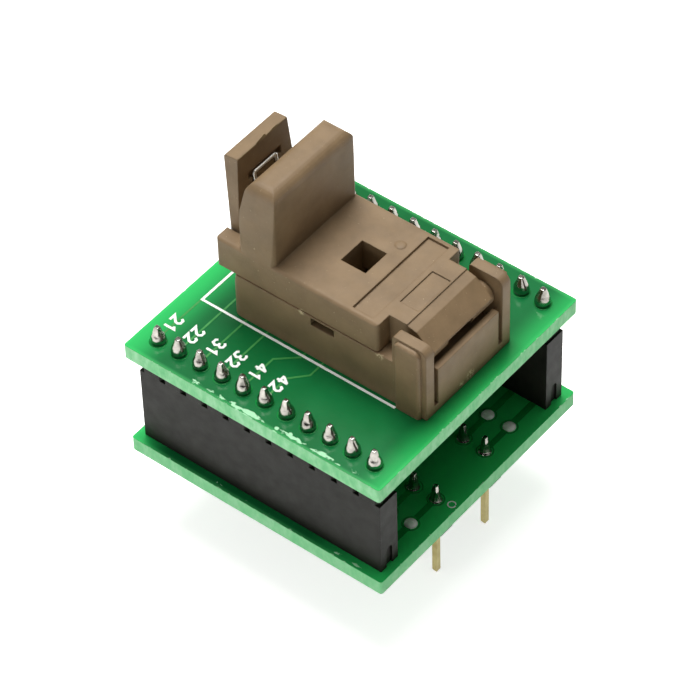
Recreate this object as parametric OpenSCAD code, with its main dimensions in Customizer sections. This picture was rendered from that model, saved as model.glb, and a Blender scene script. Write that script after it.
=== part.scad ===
// Hinged-lid test socket on a plug-in adapter of two small circuit boards.
// Millimetres, +Z up. The origin is the middle of the footprint, at the tips of the plug-in pins.
// X runs along the pin rows, towards the lid's hinge; Y runs from the front row to the back row.

/* [Boards] */
// Side of each square circuit board
board_size = 30; // [29:0.5:36]
// Thickness of each circuit board
board_t = 1.6; // [1:0.1:2.4]
// Corner radius of each board
board_corner = 0.3; // [0.2:0.1:2]
// Drilled hole for each square pin
hole_d = 1.0; // [0.95:0.05:1.2]
// Drilled hole for each thin tail
tail_hole_d = 0.7; // [0.6:0.05:0.9]

/* [Pin rows] */
// Distance between neighbouring pins
pitch = 2.54; // [2.4:0.01:2.7]
// Pins in each row
row_pins = 11; // [4:1:11]
// Distance between the front and back plug-and-socket rows
header_gap = 25.4; // [24:0.1:27]
// Distance between the two rows of plug-in pins
dip_gap = 7.62; // [7:0.01:10]
// Distance between the two rows of solder-filled spare holes
spare_gap = 15.24; // [14:0.01:18]
// Side of each square header pin
pin_w = 0.64; // [0.5:0.01:0.66]
// Side of each square plug-in pin
dip_pin_w = 0.56; // [0.45:0.01:0.66]
// Length of the plug-in pins below their strip
dip_pin_len = 6.6; // [4:0.1:9]
// Length of the header pins below their strip
header_pin_len = 6.1; // [4:0.1:7]
// Pin that stands above the board it is soldered to
pin_above = 1.9; // [1.6:0.1:3]
// Length of the chamfer at each pin end
pin_chamfer = 0.3; // [0.1:0.05:0.5]
// Length of the taper at each soldered pin end
pin_taper = 0.6; // [0.3:0.05:0.8]

/* [Strips] */
// Height of the moulded strip on the plug-in pins
dip_strip_h = 2.04; // [1.5:0.02:4]
// Height of the moulded strip on the header pins
header_strip_h = 2.14; // [1.5:0.02:4]
// Width of each strip across its row
strip_w = 2.5; // [2.2:0.05:2.6]
// Height of each socket strip
socket_strip_h = 8.9; // [8:0.1:11]
// How far a socket strip runs past its last cell
strip_end = 0.2; // [0:0.05:0.4]
// Length of the tails below the board
tail_below = 1.4; // [1:0.1:2]

/* [Solder] */
// Diameter of a solder joint at the board
solder_d = 1.5; // [1.4:0.05:2]
// Height of a solder joint round a pin
solder_h = 1.45; // [1:0.05:1.5]
// Diameter of the solder cap on a spare hole
cap_d = 1.3; // [1.2:0.05:1.8]
// Height of the solder cap on a spare hole
cap_h = 0.34; // [0.1:0.02:0.5]

/* [Socket base] */
// Middle of the socket across the board
socket_y = 0.65; // [-2:0.05:2]
// End of the base away from the hinge
base_x0 = -9.6; // [-10.2:0.1:-9]
// Length of the base
base_len = 22.75; // [22.5:0.05:24]
// Width of the base
base_w = 12.55; // [12.2:0.05:14]
// Height of the base, up to the lid
base_h = 5.3; // [5:0.1:6]
// Thickness of the base's floor
floor_t = 0.8; // [0.5:0.1:1.2]
// Corner radius of the base at its latch end
base_corner = 0.9; // [0.4:0.1:2]
// How far the ramp at the latch end leans in
ramp_in = 0.6; // [0.3:0.05:0.8]
// Height where the ramp starts
ramp_z = 2.9; // [2.8:0.05:3.2]
// Middle of the tested device along the socket
device_x = 1.2; // [0.8:0.1:1.6]

/* [Hinge] */
// Length of each ear
ear_len = 3.85; // [3.6:0.05:4.2]
// Thickness of each ear
ear_t = 1.15; // [1:0.05:1.4]
// Height of the ears above the board
ear_h = 8.7; // [8.2:0.1:9.5]
// How far the pad on each ear stands out
pad_out = 0.45; // [0.3:0.05:0.6]
// Distance from the hinge axis to the end of the base
hinge_setback = 2.25; // [2.1:0.05:2.4]
// Height of the hinge axis above the base
hinge_rise = 0.9; // [0.8:0.05:1.1]
// Diameter of the hinge pin
hinge_pin_d = 1.0; // [0.8:0.05:1.1]
// Radius of the lid's knuckle
knuckle_r = 1.35; // [1.3:0.02:1.4]
// Thickness of the wall between the ears
end_wall_t = 0.7; // [0.5:0.05:0.75]

/* [Lid] */
// Thickness of the lid
lid_t = 3.44; // [3:0.02:4]
// Seam between lid and base
seam = 0.06; // [0.04:0.02:0.3]
// How far the lid stands back from each side of the base
lid_inset = 0.1; // [0.05:0.05:0.4]
// How far the lid reaches over the latch end of the base
shelf_over = 1.6; // [1.4:0.05:1.7]
// Length of the notch beside each ear
notch_len = 1.7; // [1.2:0.1:2]
// Size of the window along the socket
window_w = 2.85; // [2:0.05:3.2]
// Size of the window across the socket
window_l = 3.15; // [2:0.05:3.4]
// Depth of the marking panels in the lid
recess = 0.25; // [0.1:0.05:0.5]

/* [Thumb block] */
// Height of the block above the lid
block_h = 8.5; // [6:0.1:10]
// Thickness of the block at its foot
block_t = 4.35; // [3.5:0.05:5]
// Shelf left behind the block
shelf_len = 2.45; // [2.3:0.05:3]
// Edge radius of the block
block_edge = 1.15; // [0.3:0.05:1.2]

/* [Latch] */
// How far the lever stands outside the base
latch_over = 1.4; // [1.3:0.05:1.5]
// Height of the latch panel above the lid
panel_h = 8.25; // [6:0.05:10]
// Width of the latch at its foot
latch_w = 8.5; // [7:0.1:8.8]
// Width of the latch at its top
latch_top_w = 7.15; // [6:0.05:8]
// Thickness of the panel at its top
panel_t = 1.6; // [1.2:0.05:1.8]
// How far the panel leans out at its top
panel_lean = 0.95; // [0.5:0.05:1.2]
// Diameter of the latch pin
latch_pin_d = 0.6; // [0.5:0.05:0.7]
// How far the hook reaches under its ledge
hook_reach = 0.6; // [0.5:0.02:0.66]

/* [Fits] */
// Running clearance round a pin, on the radius
run = 0.05; // [0.03:0.01:0.08]
// Clearance round a piece that sits in a pocket
fit = 0.1; // [0.05:0.01:0.15]

/* [Hidden] */
$fn = 48;
over = 1;                                   // how far a cutter runs past the face that it opens

// Levels of the stack, from the pin tips up
dip_strip_z = dip_pin_len;
lower_z = dip_strip_z + dip_strip_h;        // underside of the lower board
lower_top = lower_z + board_t;
strip_top = lower_top + socket_strip_h;
upper_z = strip_top + header_strip_h;          // underside of the upper board
upper_top = upper_z + board_t;

// Places along the socket, in X
base_x1 = base_x0 + base_len;
ear_x0 = base_x1 - ear_len;
hinge_x = base_x1 - hinge_setback;
end_wall_x = base_x1 - end_wall_t;
lid_x0 = base_x0 - shelf_over;
lid_notch_x = ear_x0 - notch_len;
latch_x = base_x0 - latch_over;             // foot of the latch panel's outer face
block_x0 = lid_x0 + shelf_len;
block_x1 = block_x0 + block_t;

// Heights in the socket, above the upper board
hinge_z = base_h + hinge_rise;
lid_z0 = base_h + seam;
lid_z1 = lid_z0 + lid_t;

// Half widths in the socket, from its middle
base_half = base_w / 2;
ear_in = base_half - ear_t;                 // inner face of an ear
lid_half = base_half - lid_inset;
neck_half = ear_in - 0.7;                   // narrow end of the lid
knuckle_half = ear_in - fit;
end_wall_half = ear_in - 0.6;               // wall between the two slots

// The device that the socket holds: three leads on one side and a tab on the other
lead_pitch = 1.5;
pocket_w = 4.7;                             // across the leads
pocket_l = 4.4;
pocket_z = 4.0;
nest_half_l = 4.7;
nest_half_w = 4.1;
nest_top = base_h - 0.15;

// Sprung contacts, cut from sheet: a force blade and a sense blade under each lead
blade_t = 0.25;
blade_gap = 0.3;
blade_w = 0.28;                             // width of the spring's strip
spring_r = 1.0;                             // outer radius of the spring's bend
spring_u = 3.0;                             // middle of the bend, out from the device's middle
spring_z = 3.2;
tip_u = 1.6;
force_tail_u = 2.2;
sense_tail_u = 3.75;

// Latch lever
pivot_x = latch_x + 0.95;
pivot_z = lid_z0 + 1.94;
boss_r = latch_pin_d / 2 + 0.4;
slot_x = pivot_x + boss_r + 2 * fit;        // inner wall of the slot that the latch works in
arm_in = base_x0 - 0.25;                    // inner face of the lever's lower arm
arm_out = latch_x + 0.3;
hook_z = 2.65;                              // top of the hook
hook_h = 0.95;
ledge_z = hook_z + fit;

// Springs
wire_r = 0.16;
lid_coil_r = hinge_pin_d / 2 + wire_r + 0.12;
lid_coil_pitch = 0.4;
latch_wire_r = 0.18;
latch_coil_r = latch_pin_d / 2 + latch_wire_r + 0.04;

// ---------------------------------------------------------------- outlines

// Corner b of the outline a-b-c, as n short edges of radius r
function corner(a, b, c, r, n) =
    r <= 0 ? [b] :
    let (u = (a - b) / norm(a - b), v = (c - b) / norm(c - b),
         half = acos(u * v) / 2,
         mid = b + (u + v) / norm(u + v) * r / sin(half),
         s = b + u * r / tan(half) - mid, e = b + v * r / tan(half) - mid,
         a0 = atan2(s.y, s.x), turn = (atan2(e.y, e.x) - a0 + 540) % 360 - 180)
    [for (k = [0:n]) mid + r * [cos(a0 + turn * k / n), sin(a0 + turn * k / n)]];

// Outline whose points are [x, y, radius]
function rounded(p, n = 6) =
    [for (i = [0:len(p) - 1])
        let (a = p[(i + len(p) - 1) % len(p)], b = p[i], c = p[(i + 1) % len(p)])
        each corner([a.x, a.y], [b.x, b.y], [c.x, c.y], b.z, n)];

// Solid whose outline lies in XZ, from y0 to y1
module along_y(outline, y0, y1)
    translate([0, y1, 0]) rotate([90, 0, 0]) linear_extrude(y1 - y0) polygon(outline);

// Solid whose outline lies in YZ, from x0 to x1
module along_x(outline, x0, x1)
    translate([x0, 0, 0]) rotate([90, 0, 90]) linear_extrude(x1 - x0) polygon(outline);

// Box from one corner to the other
module box(a, b) translate(a) cube(b - a);

// Round bar along Y, centred on the socket's middle
module bar_y(x, z, r, half)
    translate([x, half, z]) rotate([90, 0, 0]) cylinder(r = r, h = 2 * half);

// The socket's own frame: its middle line, on top of the upper board
module on_board() translate([0, socket_y, upper_top]) children();

// ---------------------------------------------------------------- pin rows

// One copy for each pin of a row
module each_pin()
    for (i = [0:row_pins - 1]) translate([(i - (row_pins - 1) / 2) * pitch, 0, 0]) children();

module row(y) translate([0, y, 0]) each_pin() children();

// Square pin from z0 to z1, chamfered at its free end and tapered at its soldered end
module square_pin(z0, z1, size) {
    w = size / 2;
    tip = w / 2;
    end = w - 0.12;
    side = [[-tip, z0], [tip, z0], [w, z0 + pin_chamfer], [w, z1 - pin_taper], [end, z1], [-end, z1],
            [-w, z1 - pin_taper], [-w, z0 + pin_chamfer]];
    intersection() {
        along_y(side, -w, w);
        along_x(side, -w, w);
    }
}

// Drop-shaped solder joint round a pin, with its foot at z = 0
module solder_joint(d, h, core) {
    r = d / 2;
    neck = pin_w * 0.66;
    difference() {
        rotate_extrude()
            polygon([[0, 0], [r * 0.94, 0], [r, h * 0.14], [r * 0.97, h * 0.28], [r * 0.86, h * 0.5],
                     [neck + 0.1, h * 0.78], [neck, h], [0, h]]);
        box([-core, -core, -over] / 2, [core, core, 2 * (h + over)] / 2);
    }
}

// Low solder cap that fills a spare hole, rounded on both faces of the board
module spare_cap()
    rotate_extrude()
        polygon(concat([[0, -cap_h]],
            [for (k = [0:4]) [cap_d / 2 * cos(90 - 18 * k), -cap_h * sin(90 - 18 * k)]],
            [[hole_d / 2, 0], [hole_d / 2, board_t]],
            [for (k = [0:4]) [cap_d / 2 * cos(18 * k), board_t + cap_h * sin(18 * k)]],
            [[0, board_t + cap_h]]));

// Moulded strip of height h with a chamfered segment round each pin
strip_chamfer = 0.36;
module pin_strip(y, z, h, size) {
    w = strip_w / 2;
    s = pitch / 2;
    c = strip_chamfer;
    translate([0, y, z]) difference() {
        linear_extrude(h)
            each_pin() polygon([[-s, c - w], [c - s, -w], [s - c, -w], [s, c - w],
                                [s, w - c], [s - c, w], [c - s, w], [-s, w - c]]);
        each_pin() box([-size / 2, -size / 2, -over], [size / 2, size / 2, h + over]);
    }
}

// ---------------------------------------------------------------- lower board group

module board_blank(z) {
    h = board_size / 2;
    r = board_corner;
    translate([0, 0, z]) linear_extrude(board_t)
        polygon(rounded([[-h, -h, r], [h, -h, r], [h, h, r], [-h, h, r]]));
}

module drill_row(y, z, d)
    row(y) translate([0, 0, z - over]) cylinder(d = d, h = board_t + 2 * over);

module lower_board()
    color("#2f9a4c") difference() {
        board_blank(lower_z);
        for (s = [-1, 1]) {
            drill_row(s * header_gap / 2, lower_z, hole_d);
            drill_row(s * spare_gap / 2, lower_z, hole_d);
            drill_row(s * dip_gap / 2, lower_z, hole_d);
        }
    }

module dip_strip(s)
    color("#26262a") pin_strip(s * dip_gap / 2, dip_strip_z, dip_strip_h, dip_pin_w);

module dip_pins(s)
    color("#c9b458") row(s * dip_gap / 2) square_pin(0, lower_top + pin_above, dip_pin_w);

// The plug-in pins' joints are slimmer, and rise to a point
module dip_solder(s)
    color("#b9bcbf") row(s * dip_gap / 2) translate([0, 0, lower_top]) difference() {
        rotate_extrude()
            polygon([[0, 0], [dip_cone_r, 0], [dip_cone_r * 0.86, 0.12], [dip_cone_r * 0.75, 0.4],
                     [dip_pin_w * 0.74, 0.8], [dip_pin_w * 0.7, 1.1], [0, 1.1]]);
        box([-dip_pin_w / 2, -dip_pin_w / 2, -over], [dip_pin_w / 2, dip_pin_w / 2, 2 * over]);
    }
dip_cone_r = 0.66;

module spare_solder()
    color("#b9bcbf") for (s = [-1, 1]) row(s * spare_gap / 2) translate([0, 0, lower_z]) spare_cap();

// Socket strip: one long moulding with a square mouth over each contact's cell
cell_w = 1.3;
cell_l = 1.9;
cell_top = socket_strip_h - 0.9;
mouth_w = pin_w + 0.12;
mouth_flare = 0.55;
arch_r = 0.43;
arch_h = 2.1;
arch_deep = 0.22;

module socket_strip(s)
    color("#2b2a2a") translate([0, s * header_gap / 2, lower_top]) {
        l = row_pins * pitch / 2 + strip_end;
        w = strip_w / 2;
        difference() {
            box([-l, -w, 0], [l, w, socket_strip_h]);
            each_pin() {
                box([-cell_w / 2, -cell_l / 2, -over], [cell_w / 2, cell_l / 2, cell_top]);
                box([-mouth_w / 2, -mouth_w / 2, 0], [mouth_w / 2, mouth_w / 2, socket_strip_h + over]);
                along_y([[-mouth_w / 2, cell_top + 0.4], [mouth_w / 2, cell_top + 0.4],
                         [mouth_w / 2 + mouth_flare, socket_strip_h + 0.05],
                         [-mouth_w / 2 - mouth_flare, socket_strip_h + 0.05]], -mouth_w / 2, mouth_w / 2);
            }
            // Arched recess at the foot of each end
            for (e = [-1, 1]) translate([e * l, 0, 0]) {
                rotate([0, 90, 0]) translate([-arch_h, 0, -arch_deep]) cylinder(r = arch_r, h = 2 * arch_deep);
                box([-arch_deep, -arch_r, -over], [arch_deep, arch_r, arch_h]);
            }
        }
    }

// Two-beam contact in each cell, pinched near its mouth, with a flat tail through the board
module strip_contacts(s)
    color("#c8a24a") row(s * header_gap / 2) translate([0, 0, lower_top]) {
        t = 0.2;
        pin_side = pin_w / 2 + 0.04;
        beam = [[pin_side + 0.1, 0.3], [pin_side + 0.1 + t, 0.3], [pin_side + 0.1 + t, 4.2],
                [pin_side + t, 5.6], [pin_side + 0.15 + t, cell_top - 0.1],
                [pin_side + 0.15, cell_top - 0.1], [pin_side, 5.7], [pin_side, 5.5],
                [pin_side + 0.1, 4.1]];
        for (m = [0, 1]) mirror([0, m, 0]) along_x(beam, -0.3, 0.3);
        box([-0.3, -pin_side - 0.1, 0.3], [0.3, pin_side + 0.1, 0.5]);
        box([-0.25, -0.1, -board_t - tail_below], [0.25, 0.1, 0.3]);
    }

module strip_solder(s)
    color("#b9bcbf") row(s * header_gap / 2) translate([0, 0, lower_z]) mirror([0, 0, 1])
        difference() {
            rotate_extrude() polygon([[0, 0], [solder_d / 2, 0], [solder_d * 0.36, tail_below * 0.4],
                                      [0.36, tail_below * 0.8], [0, tail_below * 0.8]]);
            box([-0.25, -0.1, -over], [0.25, 0.1, tail_below]);
        }

// ---------------------------------------------------------------- upper board group

// Where each contact pair stands: [y of the pair, +1 or -1 for the side of the device]
pairs = [[-lead_pitch, -1], [0, -1], [lead_pitch, -1], [0, 1]];
function blade_y(pair, kind) = pair[0] + kind * (blade_gap + blade_t) / 2;

module upper_board()
    color("#2f9a4c") difference() {
        board_blank(upper_z);
        for (s = [-1, 1]) drill_row(s * header_gap / 2, upper_z, hole_d);
        translate([0, socket_y, upper_z - over]) each_tail() cylinder(d = tail_hole_d, h = board_t + 2 * over);
    }

// One copy at each contact's tail
module each_tail()
    for (pair = pairs, kind = [-1, 1])
        translate([device_x + pair[1] * ((kind < 0 ? force_tail_u : sense_tail_u) + blade_w / 2),
                   blade_y(pair, kind), 0]) children();

module header_strip(s)
    color("#26262a") pin_strip(s * header_gap / 2, strip_top, header_strip_h, pin_w);

module header_pins(s)
    color("#c9b458") row(s * header_gap / 2)
        square_pin(strip_top - header_pin_len, upper_top + pin_above, pin_w);

module header_solder(s)
    color("#b9bcbf") row(s * header_gap / 2) translate([0, 0, upper_top])
        solder_joint(solder_d, solder_h, pin_w);

// Outline of the base seen from above, and its side view with the latch ramp
module base_block()
    intersection() {
        linear_extrude(base_h)
            polygon(rounded([[base_x0, -base_half, base_corner], [base_x1, -base_half, 0.2],
                             [base_x1, base_half, 0.2], [base_x0, base_half, base_corner]]));
        along_y([[base_x0, 0], [base_x1, 0], [base_x1, base_h], [base_x0 + ramp_in, base_h],
                 [base_x0, ramp_z]], -base_half, base_half);
    }

// Ear with a raised pad on its outer face; side is -1 at the front, 1 at the back
module ear(side) {
    y0 = side < 0 ? -base_half : ear_in;
    along_y(rounded([[ear_x0, 0, 0], [base_x1, 0, 0], [base_x1, ear_h, 0.9], [ear_x0, ear_h, 0.35]]),
            y0, y0 + ear_t);
    r = 0.3;
    lo = base_half - 0.1;
    hi = base_half + pad_out;
    mirror([0, side < 0 ? 1 : 0, 0]) intersection() {
        along_y(rounded([[ear_x0 + 0.5, 0, 0], [base_x1 - 0.55, 0, 0], [base_x1 - 0.55, ear_h - 0.25, 0.7],
                         [ear_x0 + 0.5, ear_h - 0.25, 0.4]]), lo, hi);
        along_x(rounded([[lo, 0, 0], [hi, 0, 0], [hi, ear_h - 0.25, r], [lo, ear_h - 0.25, 0]]),
                ear_x0, base_x1);
        linear_extrude(ear_h)
            polygon(rounded([[ear_x0 + 0.5, lo, 0], [base_x1 - 0.55, lo, 0], [base_x1 - 0.55, hi, r],
                             [ear_x0 + 0.5, hi, r]]));
    }
}

module socket_base()
    color("#7d6b59") on_board() difference() {
        union() {
            base_block();
            for (side = [-1, 1]) ear(side);
        }
        // Pocket for the nest, and slots in the floor for the tails
        box([device_x - nest_half_l - fit, -nest_half_w - fit, floor_t],
            [device_x + nest_half_l + fit, nest_half_w + fit, base_h + over]);
        each_tail() box([-blade_w / 2 - fit, -blade_t / 2 - fit, -over],
                        [blade_w / 2 + fit, blade_t / 2 + fit, floor_t + over]);
        // Moulding core beside the nest
        box([base_x0 + 1.9, 1.2 - base_half, floor_t],
            [device_x - nest_half_l - 0.9, base_half - 1.2, base_h + over]);
        // Well that the lid's knuckle turns in
        box([ear_x0, -ear_in, base_h - 1.3], [end_wall_x, ear_in, ear_h + over]);
        // Slots between the ears and the end wall
        for (side = [-1, 1])
            box([ear_x0 + 1.4, side < 0 ? -ear_in : end_wall_half, 0.9],
                [base_x1 + over, side < 0 ? -end_wall_half : ear_in, base_h + over]);
        // Sight slots in the two long walls
        box([device_x - 1.35, -base_half - over, base_h - 1.1],
            [device_x + 1.35, base_half + over, base_h - 0.2]);
        // Catch for the hook
        box([base_x0 - over, -latch_w / 2 - 0.2, hook_z - hook_h - 0.5],
            [base_x0 + hook_reach + 0.25, latch_w / 2 + 0.2, ledge_z]);
        // Groove for the fixed leg of the lid's spring
        box([hinge_x - 3.2, -leg_y - 0.25, base_h - 0.75], [ear_x0 + over, -leg_y + 0.25, base_h + over]);
        // Holes for the hinge pin
        bar_y(hinge_x, hinge_z, hinge_pin_d / 2 + 0.02, ear_in + 1);
    }

module contact_nest()
    color("#5d5146") on_board() difference() {
        box([device_x - nest_half_l, -nest_half_w, floor_t], [device_x + nest_half_l, nest_half_w, nest_top]);
        box([device_x - pocket_l / 2, -pocket_w / 2, pocket_z],
            [device_x + pocket_l / 2, pocket_w / 2, nest_top + over]);
        // Hole under the device's body
        translate([device_x, 0, 0]) cylinder(d = 1.4, h = nest_top);
        // One slot for each blade
        for (pair = pairs, kind = [-1, 1]) translate([device_x, blade_y(pair, kind), 0])
            mirror([pair[1] < 0 ? 1 : 0, 0, 0])
                box([tip_u - fit, -blade_t / 2 - 0.03, 0],
                    [spring_u + spring_r + 0.15, blade_t / 2 + 0.03, nest_top + over]);
    }

// Side view of one blade: tip, bend and tail; u runs outwards from the device's middle
module blade(tail_u)
    rotate([90, 0, 0]) translate([0, 0, -blade_t / 2]) linear_extrude(blade_t) {
        top = spring_z + spring_r;
        low = spring_z - spring_r;
        difference() {
            translate([spring_u, spring_z]) circle(spring_r);
            translate([spring_u, spring_z]) circle(spring_r - blade_w);
            translate([spring_u - 2 * spring_r, spring_z - 2 * spring_r]) square([2 * spring_r, 4 * spring_r]);
        }
        polygon([[tip_u, top - blade_w], [spring_u, top - blade_w], [spring_u, top],
                 [tip_u + 0.5, top], [tip_u + 0.2, top + 0.2], [tip_u, top + 0.2]]);
        reach = tail_u < spring_u ? [tail_u, spring_u] : [spring_u, tail_u + blade_w];
        translate([reach[0], low]) square([reach[1] - reach[0], blade_w]);
        tail_end = board_t + tail_below - 0.3;
        translate([tail_u, -tail_end]) square([blade_w, tail_end + low + blade_w]);
    }

module blades(kind, tail_u)
    color("#cfae5c") on_board() for (pair = pairs)
        translate([device_x, blade_y(pair, kind), 0]) mirror([pair[1] < 0 ? 1 : 0, 0, 0]) blade(tail_u);

module force_contacts() blades(-1, force_tail_u);
module sense_contacts() blades(1, sense_tail_u);

module contact_solder()
    color("#b9bcbf") translate([0, socket_y, upper_z]) each_tail() mirror([0, 0, 1]) difference() {
        rotate_extrude() polygon([[0, 0], [0.6, 0], [0.42, 0.3], [0.25, 0.75], [0, 0.75]]);
        box([-blade_w / 2, -blade_t / 2, -over], [blade_w / 2, blade_t / 2, over]);
    }

module hinge_pin()
    color("#c4c7ca") on_board() bar_y(hinge_x, hinge_z, hinge_pin_d / 2, ear_in + 0.9);

// ---------------------------------------------------------------- springs

// Wire of radius r along a path of points, closed at both ends
module wire(path, r, sides = 8) {
    n = len(path);
    tan = [for (i = [0:n - 1]) let (d = path[min(i + 1, n - 1)] - path[max(i - 1, 0)]) d / norm(d)];
    start = cross(tan[0], [0.31, 0.43, 0.85]);
    nor = [for (i = 0, v = start / norm(start); i < n;
                v = let (t = tan[min(i + 1, n - 1)], w = v - (v * t) * t) w / norm(w), i = i + 1) v];
    pts = [for (i = [0:n - 1], k = [0:sides - 1])
        path[i] + r * (cos(360 * k / sides) * nor[i] + sin(360 * k / sides) * cross(tan[i], nor[i]))];
    ends = [[for (k = [0:sides - 1]) k], [for (k = [0:sides - 1]) n * sides - 1 - k]];
    skin = [for (i = [0:n - 2], k = [0:sides - 1])
        let (a = i * sides + k, b = i * sides + (k + 1) % sides)
        each [[a, a + sides, b + sides], [a, b + sides, b]]];
    polyhedron(pts, concat(ends, skin), convexity = 6);
}

// Turns of a coil about Y: angle a0 to a1 in steps, y from y0 to y1; 0 degrees points along -Z, 90 along -X
function coil(x, z, r, a0, a1, y0, y1, steps) =
    [for (k = [0:steps]) let (a = a0 + (a1 - a0) * k / steps)
        [x - r * sin(a), y0 + (y1 - y0) * k / steps, z - r * cos(a)]];

lid_turns = 5;
fixed_leg = 12;                             // slope of the fixed leg, down from level
free_leg = 5;                               // slope of the moving leg, up from level
split_a = 280;                              // where the moving part of the last turn begins
wound = 360 * lid_turns + 360 - fixed_leg - split_a;
leg_y = lid_coil_pitch * wound / 720;       // half length of the coil
free_y = leg_y + lid_coil_pitch;

// Coil round the hinge pin, with the leg that bears on the base
module lid_spring()
    color("#c4c7ca") on_board() wire(concat(
        [[hinge_x - 2.9, -leg_y, hinge_z - lid_coil_r - 2.9 * tan(fixed_leg)]],
        coil(hinge_x, hinge_z, lid_coil_r, -fixed_leg, -fixed_leg - wound, -leg_y, leg_y,
             16 * lid_turns)), wire_r);

// Last turn of the same spring, with the leg that lifts the lid
module lid_spring_leg()
    color("#c4c7ca") on_board() wire(concat(
        coil(hinge_x, hinge_z, lid_coil_r, split_a, 180 + free_leg, free_y, free_y, 5),
        [[hinge_x - 2.3, free_y, hinge_z + lid_coil_r + 2.3 * tan(free_leg)]]), wire_r);

// ---------------------------------------------------------------- lid

// Block that the thumb pushes against, with a leaning back and drafted ends
module thumb_block() {
    z1 = lid_z1 + block_h;
    knee = lid_z1 + block_h * 0.58;
    e = block_edge;
    draft = 0.5;
    intersection() {
        along_y(rounded([[block_x0, lid_z1 - over, 0], [block_x1, lid_z1 - over, 0],
                         [block_x1 + 0.1, z1, e], [block_x0 + 1.18, z1, e], [block_x0 + 0.35, knee, 0.8]]),
                -lid_half, lid_half);
        along_x(rounded([[-lid_half, lid_z1 - over, 0], [lid_half, lid_z1 - over, 0],
                         [lid_half - draft, z1, e], [draft - lid_half, z1, e]]), lid_x0, block_x1 + over);
        linear_extrude(z1 + over)
            polygon(rounded([[block_x0, -lid_half, 0.9], [block_x1 + 0.1, -lid_half, 0.75],
                             [block_x1 + 0.1, lid_half, 0.75], [block_x0, lid_half, 0.9]]));
    }
}

// Flat part of the lid, with softened long edges
module lid_plate()
    intersection() {
        linear_extrude(lid_z1)
            polygon(rounded([[lid_x0, -lid_half, 0.25], [lid_notch_x, -lid_half, 0.4],
                             [lid_notch_x, lid_half, 0.4], [lid_x0, lid_half, 0.25]]));
        along_x(rounded([[-lid_half, lid_z0, 0], [lid_half, lid_z0, 0], [lid_half, lid_z1, 0.35],
                         [-lid_half, lid_z1, 0.35]]), lid_x0, lid_notch_x);
    }

// Narrow end of the lid between the ears, with its slanted nose
nose_x = hinge_x + 1.58;
nose_z = hinge_z + 0.53;
brow_x = hinge_x - 0.25;                    // upper edge of the slanted face
brow_z = lid_z1 - 0.38;
nose_lip = 0.3;                             // left whole in front of the room for the spring
step_x = hinge_x - 1.3;
module lid_neck() {
    along_y([[lid_notch_x - over, lid_z0], [hinge_x - knuckle_r, lid_z0], [hinge_x, hinge_z - 0.2],
             [hinge_x + 1.05, hinge_z - 0.2], [nose_x - 0.15, nose_z - 0.35], [nose_x, nose_z],
             [brow_x, brow_z], [step_x, lid_z1 - 0.12], [step_x, lid_z1],
             [lid_notch_x - over, lid_z1]], -neck_half, neck_half);
    for (side = [-1, 1]) bar_between(hinge_x, hinge_z, knuckle_r, side * coil_room, side * knuckle_half);
}

panel_margin = 0.58;                        // plain border beside the marking panel

// Half length of the room for the spring's coil
coil_room = free_y + 0.9 * lid_coil_pitch;

module bar_between(x, z, r, ya, yb)
    translate([x, max(ya, yb), z]) rotate([90, 0, 0]) cylinder(r = r, h = abs(yb - ya));

module lid()
    color("#8a7663") on_board() difference() {
        union() {
            lid_plate();
            lid_neck();
            thumb_block();
            // Ribs that press on the leads and on the tab
            for (side = [-1, 1])
                box([device_x + side * 1.75 - 0.35, 0.3 - pocket_w / 2, pocket_z + 0.45],
                    [device_x + side * 1.75 + 0.35, pocket_w / 2 - 0.3, lid_z0 + over]);
            // Ejector mark
            translate([device_x + 1.75, 3.2, lid_z1 - 0.1]) rotate_extrude()
                polygon([[0, 0], [0.55, 0], [0.55, 0.12], [0.48, 0.17], [0.3, 0.21], [0, 0.22]]);
        }
        // Window over the device
        box([device_x - window_w / 2, -window_l / 2, 0], [device_x + window_w / 2, window_l / 2, lid_z1 + over]);
        // Marking panels, left bare
        box([lid_notch_x - 3.3, panel_margin - lid_half, lid_z1 - recess],
            [lid_notch_x - 0.9, lid_half - panel_margin, lid_z1 + over]);
        box([lid_notch_x - 0.3, -2.5, lid_z1 - recess / 2], [step_x - 0.2, 2.3, lid_z1 + over]);
        // Moulding cores in the underside and in the thumb block
        box([device_x + window_w / 2 + 1.4, 1.3 - lid_half, 0],
            [lid_notch_x - 1, lid_half - 1.3, lid_z1 - 1.3]);
        box([block_x0 + 1.1, 1.3 - lid_half, 0], [block_x1 - 1.1, lid_half - 1.3, lid_z1 + block_h - 1.6]);
        box([block_x1 - 1.2, 1.3 - lid_half, 0], [device_x - window_w / 2 - 1.4, lid_half - 1.3, lid_z1 - 1.3]);
        // Slot and pin holes for the latch
        box([lid_x0 - over, -latch_w / 2 - 0.3, 0], [slot_x, latch_w / 2 + 0.3, lid_z1 + over]);
        bar_y(pivot_x, pivot_z, latch_pin_d / 2 + 0.02, latch_w / 2 + 1.35);
        // Hinge bore, and room for the spring
        bar_y(hinge_x, hinge_z, hinge_pin_d / 2 + run, knuckle_half + over);
        bar_y(hinge_x, hinge_z, lid_coil_r + wire_r + 0.12, coil_room);
        box([hinge_x - knuckle_r - 0.1, -coil_room, 0], [nose_x - nose_lip, coil_room, hinge_z - 0.2]);
        box([hinge_x - 2.6, free_y - 0.25, 0], [hinge_x, free_y + 0.25, hinge_z + lid_coil_r + 0.45]);
    }

// ---------------------------------------------------------------- latch

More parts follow.
